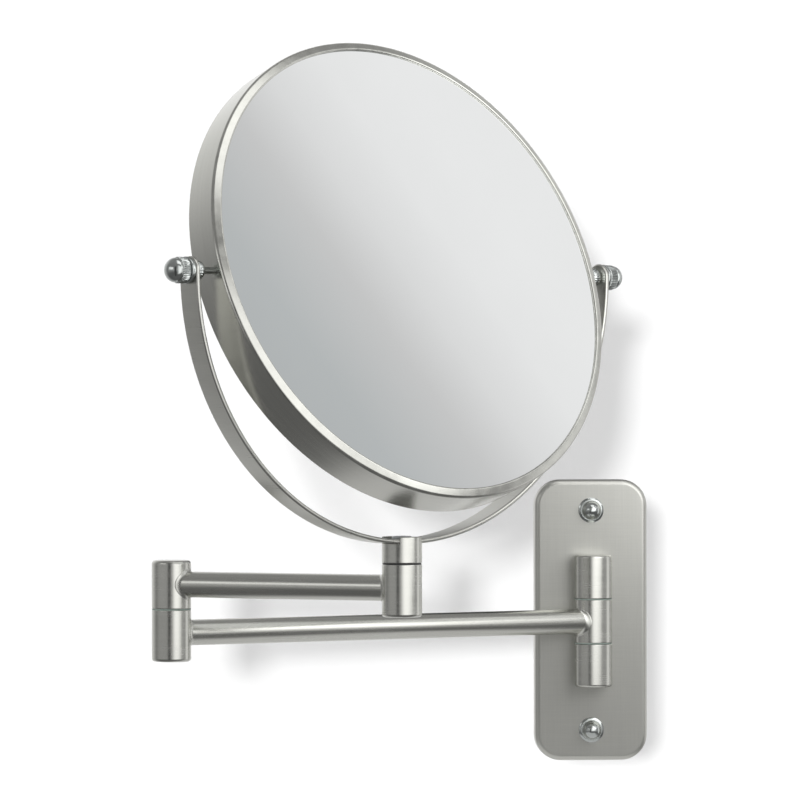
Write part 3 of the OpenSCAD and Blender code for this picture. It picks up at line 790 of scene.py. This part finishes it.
class WALLMIRROR_OT_pivots(bpy.types.Operator):
    """Threaded studs, ribbed collars, washers and knurled domed nuts on both sides"""

    bl_idname = "wall_mirror.pivots"
    bl_label = "Pivots"

    def execute(self, context):
        sizes = context.scene.wall_mirror_sizes
        teeth, pitch = sizes.knurl_teeth, sizes.thread_pitch / MM
        inner, outer = HEAD_R - RIM_WALL - 5.2, NUT_X + 6.2
        for side, word in ((-1, "left"), (1, "right")):
            place = along_pivot(side)
            start, crest = HEAD_R - 0.6, []
            while start < BAND_R - 1:
                crest += [(1.3, start, 0), (1.5, start + pitch / 2, 0)]
                start += pitch
            stud = turned([(0, inner, 0), (1.5, inner, 0.2), *crest, (1.5, start, 0), (1.5, outer, 0.2),
                           (0, outer, 0)], steps=32, segments=2)
            piece(f"threaded_stud_{word}", stud, place, "mirror_head", "chrome", "bright_chrome",
                  f"pivot_stud_{word}")
            low, high = BAND_R - 4.9, BAND_R - 0.1
            collar = turned([(1.5, low, 0), (2.9, low, 0.3), (4.0, low + 1.2, 0), (4.0, high - 1.2, 0),
                             (2.9, high, 0.3), (1.5, high, 0)], steps=96, closed=True)
            knurl(collar, low + 1.1, high - 1.1, 24, 0.2 * MM)
            piece(f"ribbed_collar_{word}", collar, place, "mirror_head", "chrome", "bright_chrome",
                  f"pivot_collar_{word}")
            washer = turned([(1.5, WASHER_X, 0), (5.8, WASHER_X, 0.35), (5.8, WASHER_X + WASHER_T, 0.5),
                             (1.5, WASHER_X + WASHER_T, 0)], closed=True)
            piece(f"plain_washer_{word}", washer, place, "mirror_head", "chrome", "bright_chrome",
                  f"pivot_washer_{word}")
            z = NUT_X
            nut = turned([(0, z + 7, 0), (1.55, z + 7, 0), (1.55, z, 0), (4.9, z, 0.2), (5.58, z + 0.5, 0),
                          (5.58, z + 3.9, 0), (5.0, z + 4.3, 0.1), (5.2, z + 4.6, 0),
                          *arc((0, z + 4.7), (5.25, 4.5), 5, 90, 16)], steps=4 * teeth)
            knurl(nut, z + 0.4, z + 4.0, teeth, sizes.knurl_depth)
            piece(f"domed_nut_{word}", nut, place, f"{word}_nut", "chrome", "bright_chrome",
                  f"pivot_nut_{word}")
        paint("turned_brass", "brass", "pivot_inserts")
        return {"FINISHED"}


# ---- studio --------------------------------------------------------------------------------------


def card(name, centre, target, up, width, tall, stops, slant=(1, 0), fade=0.3, clear=False):
    """A glowing card that only reflections see, facing its target.

    Its grey level runs along slant, the shares of its left-to-right and bottom-to-top directions as the
    target sees them. Its edges are soft: it fades out over that share of its size, half of it inside its
    edges and half outside. A clear card adds its glow to what lies behind it.
    """
    mesh = bpy.data.meshes.new(name)
    bm = bmesh.new()
    bmesh.ops.create_grid(bm, x_segments=1, y_segments=1, size=0.5)
    layer = bm.loops.layers.uv.new("card")
    for face in bm.faces:
        for loop in face.loops:
            loop[layer].uv = ((1 + fade) * loop.vert.co.x + 0.5, (1 + fade) * loop.vert.co.y + 0.5)
    outward = (Vector(centre) - Vector(target)).normalized()
    side = Vector(up).cross(outward).normalized()
    turn = Matrix((side, outward.cross(side), outward)).transposed().to_4x4()
    bmesh.ops.scale(bm, vec=((1 + fade) * width, (1 + fade) * tall, 1), verts=bm.verts)
    bm.transform(Matrix.Translation(centre) @ turn)
    bm.to_mesh(mesh)
    bm.free()
    obj = bpy.data.objects.new(name, mesh)
    bpy.context.scene.collection.objects.link(obj)
    material, tree = blank(name)
    uv = add(tree, "UVMap", uv_map="card").outputs["UV"]
    level = add(tree, "VectorMath", [(0, uv), (1, (*slant, 0))], operation="DOT_PRODUCT").outputs["Value"]
    glow = add(tree, "Emission", [("Color", ramp(tree, level, stops)), ("Strength", 1.0)]).outputs[0]
    behind = add(tree, "BsdfTransparent").outputs["BSDF"]
    if clear:
        glow = add(tree, "AddShader", [(0, glow), (1, behind)]).outputs["Shader"]
    shown = None
    for share in add(tree, "SeparateXYZ", [("Vector", uv)]).outputs[:2]:
        off_centre = add(tree, "Math", [(0, share), (1, 0.5)], operation="SUBTRACT").outputs[0]
        reach = add(tree, "Math", [(0, off_centre)], operation="ABSOLUTE").outputs[0]
        within = add(tree, "MapRange", [("Value", reach), ("From Min", 0.5 + fade / 2),
                                         ("From Max", 0.5 - fade / 2)],
                     interpolation_type="SMOOTHSTEP").outputs["Result"]
        shown = within if shown is None else add(tree, "Math", [(0, shown), (1, within)],
                                                 operation="MULTIPLY").outputs[0]
    faded = add(tree, "MixShader", [("Fac", shown), (1, behind), (2, glow)])
    add(tree, "OutputMaterial", [("Surface", faded.outputs["Shader"])])
    mesh.materials.append(material)
    for ray in ("camera", "diffuse", "shadow", "transmission", "volume_scatter"):
        setattr(obj, f"visible_{ray}", False)
    return obj


class WALLMIRROR_OT_stage(bpy.types.Operator):
    """Backdrop, soft key light, reflection cards, surroundings and the camera"""

    bl_idname = "wall_mirror.stage"
    bl_label = "Stage"

    def execute(self, context):
        scene = context.scene
        camera = bpy.data.objects.new("camera", bpy.data.cameras.new("camera"))
        scene.collection.objects.link(camera)
        camera.location = (-0.2399, -2.3309, 0.1081)
        camera.rotation_euler = (radians(89.87), radians(0.08), radians(-3.71))
        camera.data.sensor_width, camera.data.lens = 36, 225
        camera.data.clip_end = 20
        scene.camera = camera
        scene.view_settings.view_transform = "Standard"

        bm = bmesh.new()
        edge = bm.edges.new([bm.verts.new((-3, -4, -0.9)), bm.verts.new((3, -4, -0.9))])
        for step in ((0, 3.82, 0), (0, 0.35, 0.35), (0, 0, 3.5)):
            made = bmesh.ops.extrude_edge_only(bm, edges=[edge])["geom"]
            edge = next(g for g in made if isinstance(g, bmesh.types.BMEdge))
            bmesh.ops.translate(bm, vec=step, verts=edge.verts)
        coved = [e for e in bm.edges if abs(e.verts[0].co.z - e.verts[1].co.z) < 1e-6
                 and len(e.link_faces) == 2]
        bmesh.ops.bevel(bm, geom=coved, offset=0.15, offset_type="OFFSET", segments=10, profile=0.5,
                        affect="EDGES", material=-1)
        for face in bm.faces:
            face.smooth = True
        if sum(f.normal.y for f in bm.faces) > 0:
            bmesh.ops.reverse_faces(bm, faces=bm.faces)
        mesh = bpy.data.meshes.new("backdrop")
        bm.to_mesh(mesh)
        bm.free()
        backdrop = bpy.data.objects.new("backdrop", mesh)
        scene.collection.objects.link(backdrop)
        material, tree = blank("painted_backdrop")
        paint_coat = add(tree, "BsdfDiffuse", [("Color", (*scene.wall_mirror_colours.wall, 1))])
        clear = add(tree, "BsdfTransparent")
        behind = add(tree, "NewGeometry").outputs["Backfacing"]
        either = add(tree, "MixShader", [("Fac", behind), (1, paint_coat.outputs["BSDF"]),
                                         (2, clear.outputs["BSDF"])])
        add(tree, "OutputMaterial", [("Surface", either.outputs["Shader"])])
        mesh.materials.append(material)
        backdrop.visible_glossy = False

        # The key light shines almost straight at the wall, so shadows fall a little right and down.
        sun = bpy.data.lights.new("key", "SUN")
        sun.energy, sun.angle = 1.3, radians(3.5)
        key = bpy.data.objects.new("key", sun)
        scene.collection.objects.link(key)
        key.rotation_euler = Vector((0.155, 1, -0.075)).to_track_quat("-Z", "Y").to_euler()
        key.visible_glossy = False

        # What the front glass shows: dim at its lower left, brightening to its upper right.
        head = IN_HEAD.to_3x3()
        reflected = Vector((0.86, -0.083, 0.503))
        card("mirror_card", PIVOT + 0.55 * reflected, PIVOT + 0.55 * reflected - head @ Vector((0, 0, 1)),
             head @ Vector((0, 1, 0)), 0.34, 0.34,
             [(0.2, (0.49, 0.51, 0.515)), (0.3, (0.52, 0.54, 0.545)), (0.42, 0.64), (0.5, 0.79),
              (0.59, 0.89), (0.68, 0.92)], (0.64, 0.36), fade=0.05)

        # The bright stripe down the knuckles, and the lower left of the lip. The plate is left out of it,
        # as a flat sheet mirrors another part of a room than the round pieces do. Being clear, the card
        # shows the plate what lies behind it and not a black shape.
        key_card = card("key_card", (0.24, -0.6, 0.175), (0.24, 0, 0.175), (0, 0, 1), 0.7, 0.55,
                        [(0.0, 1.15), (0.4, 1.15), (1.0, 0.35)], clear=True)
        flagged = bpy.data.collections.new("flagged_from_key_card")
        key_card.light_linking.receiver_collection = flagged
        flagged.objects.link(bpy.data.objects["wall_plate_shell"])
        flagged.collection_objects[0].light_linking.link_state = "EXCLUDE"

        upright, level = (0, 0, 1), (0, 1, 0)
        plain_cards = (
            # Small glints, mostly on the left nut.
            ("high_card", (0.8, -0.6, 0.62), (0, -0.05, 0), upright, 0.45, 0.5, (1.7, 1.3)),
            # The left of the lip, and glints on the nuts and the upper dome.
            ("overhead_card", (0.08, -0.35, 0.72), (0.08, -0.1, 0), level, 0.5, 0.4, (1.5, 1.5)),
            # Darkens the right end of the band and the lower left of the drum.
            ("shade_card", (0.04, 0.3, 0.25), (0.04, 0, 0.25), upright, 0.24, 0.3, (0.03, 0.03)),
            # The underside of the lower tube, and the bottom of the drum.
            ("floor_card", (-0.06, -0.02, -0.13), (-0.06, -0.02, 0), level, 0.28, 0.24, (0.62, 0.62)),
            # The middle of the upper tube.
            ("left_card", (-0.79, -0.54, 0.3), (-0.15, -0.14, 0), upright, 0.5, 0.2, (1.1, 1.3)),
            # The right edges of the knuckles.
            ("right_card", (1.0, 0.1, 0.1), (0, 0, 0), upright, 0.45, 1.2, (0.9, 0.9)),
            # The plate, most at its top and right, and the bottom of the lip.
            ("plate_card", (0.18, -0.3, 0.2), (0.18, 0, 0.2), upright, 0.3, 0.32, (2.2, 2.2)),
            # Darkens the middle of the knuckles.
            ("dark_card", (-0.32, -0.6, 0), (-0.32, 0, 0), upright, 0.14, 0.7, (0.06, 0.06)),
        )
        for name, centre, target, up, width, tall, (start, end) in plain_cards:
            card(name, centre, target, up, width, tall, [(0.0, start), (1.0, end)])

        world = bpy.data.worlds.new("studio")
        scene.world = world
        world.use_nodes = True
        tree = world.node_tree
        tree.nodes.clear()

        # Reflections see grey levels that change with height, from 0 straight down to 1 straight up, and
        # that differ before the wall, beside the object and beyond it. Everything else sees an even grey.
        direction = add(tree, "SeparateXYZ", [("Vector", add(tree, "TexCoord").outputs["Generated"])])
        rise = add(tree, "MapRange", [("Value", direction.outputs["Z"]), ("From Min", -1.0),
                                      ("From Max", 1.0)]).outputs["Result"]
        before = ramp(tree, rise, [(0.0, 0.14), (0.3, 0.14), (0.38, 0.2), (0.46, 0.37),
                                   (0.54, 0.43), (0.62, 0.34), (0.72, 0.24), (0.88, 0.25), (1.0, 0.3)])
        beside = ramp(tree, rise, [(0.0, 0.12), (0.2, 0.14), (0.35, 0.2), (0.65, 0.22),
                                   (0.85, 0.3)])
        beyond = ramp(tree, rise, [(0.0, 0.6), (0.15, 0.85), (0.5, 0.95), (0.67, 1.1), (0.8, 0.9),
                                   (0.9, 0.3), (1.0, 0.28)])
        depth = direction.outputs["Y"]
        near = add(tree, "MapRange", [("Value", depth), ("From Min", -0.2), ("From Max", 0.2)])
        far = add(tree, "MapRange", [("Value", depth), ("From Min", 0.2), ("From Max", 1.0)])
        front_half = add(tree, "Mix", [("Factor", near.outputs["Result"]), (6, before), (7, beside)],
                         data_type="RGBA")
        around_all = add(tree, "Mix", [("Factor", far.outputs["Result"]), (6, front_half.outputs[2]),
                                       (7, beyond)], data_type="RGBA")
        seen = add(tree, "Background", [("Color", around_all.outputs[2]), ("Strength", 1.0)])
        pale = add(tree, "Background", [("Color", (0.78, 0.78, 0.78, 1)), ("Strength", 1.0)])
        gloss = add(tree, "LightPath").outputs["Is Glossy Ray"]
        both = add(tree, "MixShader", [("Fac", gloss), (1, pale.outputs["Background"]),
                                       (2, seen.outputs["Background"])])
        add(tree, "OutputWorld", [("Surface", both.outputs["Shader"])])
        return {"FINISHED"}


STEPS = (WALLMIRROR_OT_wall_plate, WALLMIRROR_OT_plate_fixings, WALLMIRROR_OT_wall_hinge,
         WALLMIRROR_OT_lower_arm, WALLMIRROR_OT_upper_arm, WALLMIRROR_OT_yoke, WALLMIRROR_OT_mirror_head,
         WALLMIRROR_OT_glasses, WALLMIRROR_OT_pivots, WALLMIRROR_OT_stage)


class WALLMIRROR_PT_panel(bpy.types.Panel):
    """Lists the pieces and what can be changed about them"""

    bl_idname = "WALLMIRROR_PT_panel"
    bl_label = "Wall mirror"
    bl_space_type = "VIEW_3D"
    bl_region_type = "UI"
    bl_category = "Wall mirror"

    def draw(self, context):
        for group in (context.scene.wall_mirror_sizes, context.scene.wall_mirror_colours):
            box = self.layout.box()
            for name in group.bl_rna.properties.keys():
                if name not in ("rna_type", "name"):
                    box.prop(group, name)
        for step in STEPS:
            self.layout.operator(step.bl_idname)


CLASSES = (WallMirrorSizes, WallMirrorColours, *STEPS, WALLMIRROR_PT_panel)


def register():
    for cls in CLASSES:
        bpy.utils.register_class(cls)
    bpy.types.Scene.wall_mirror_sizes = PointerProperty(type=WallMirrorSizes)
    bpy.types.Scene.wall_mirror_colours = PointerProperty(type=WallMirrorColours)


def unregister():
    del bpy.types.Scene.wall_mirror_colours
    del bpy.types.Scene.wall_mirror_sizes
    for cls in reversed(CLASSES):
        bpy.utils.unregister_class(cls)


def main():
    """Builds every piece in order."""
    register()
    for step in STEPS:
        getattr(bpy.ops.wall_mirror, step.bl_idname.split(".")[1])()


if __name__ == "__main__":
    main()
